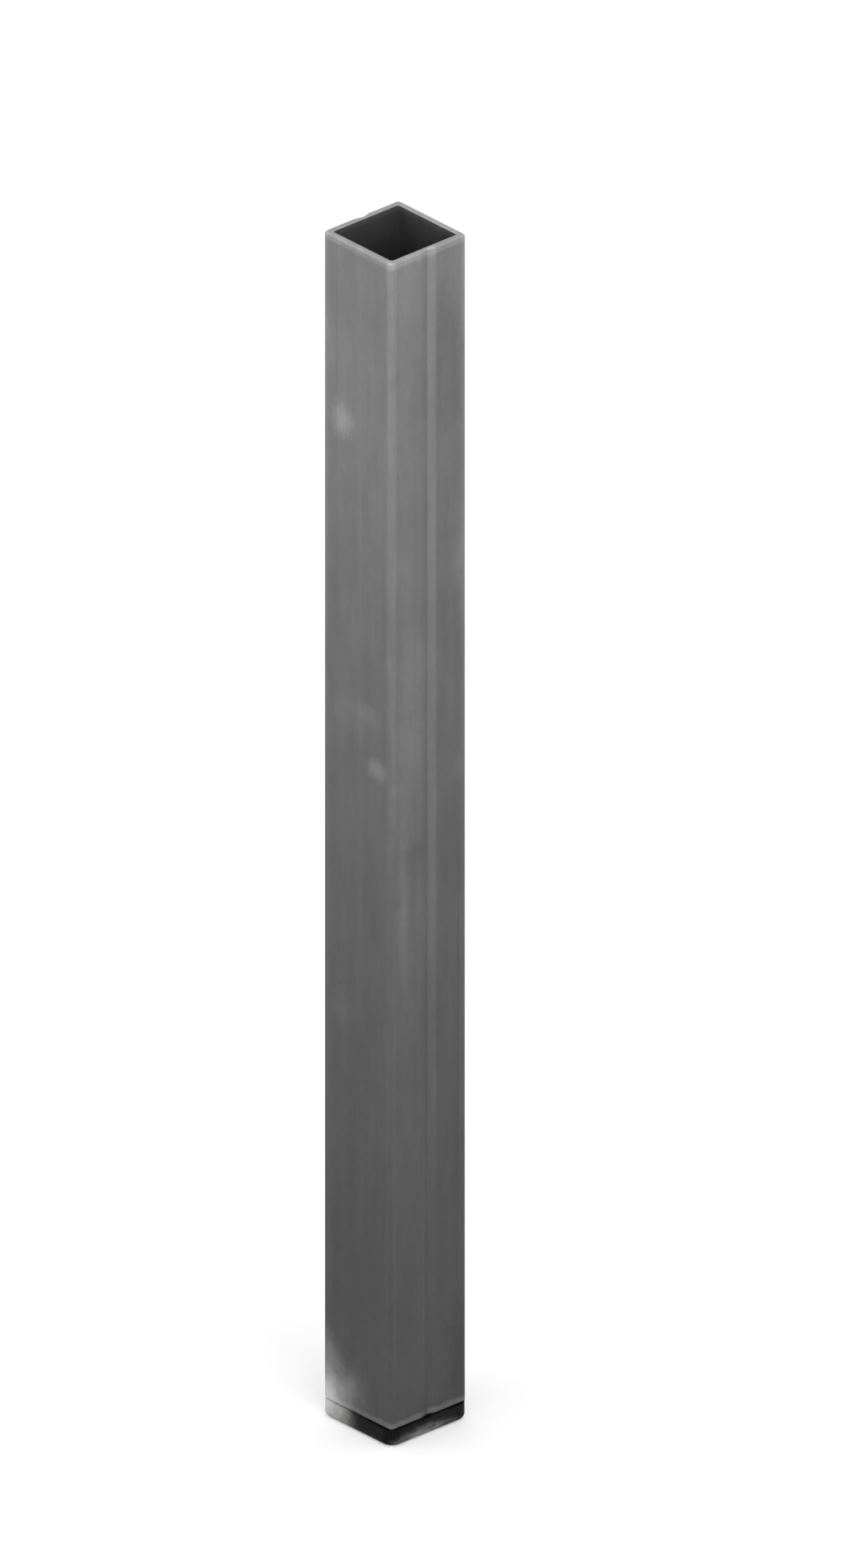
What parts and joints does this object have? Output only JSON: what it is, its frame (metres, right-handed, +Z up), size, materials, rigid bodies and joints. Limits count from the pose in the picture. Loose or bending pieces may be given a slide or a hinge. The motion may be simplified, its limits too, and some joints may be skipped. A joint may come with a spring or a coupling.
{
  "type": "stage platform leg",
  "caption": "Square aluminium stage leg with a shallow V groove down each side face, open at the top, standing on a black push-in plastic foot.",
  "frame": {"origin": "middle of the sole's underside, on the floor", "axes": "+Z up the leg; the grooved faces look along +X and -X, the plain faces along +Y and -Y"},
  "size_m": [0.063, 0.063, 0.785],
  "materials": {
    "aluminium": "satin",
    "foot_plastic": "matte"
  },
  "bodies": {
    "root": {"leg_tube": "aluminium", "foot": "foot_plastic"}
  },
  "joints": []
}
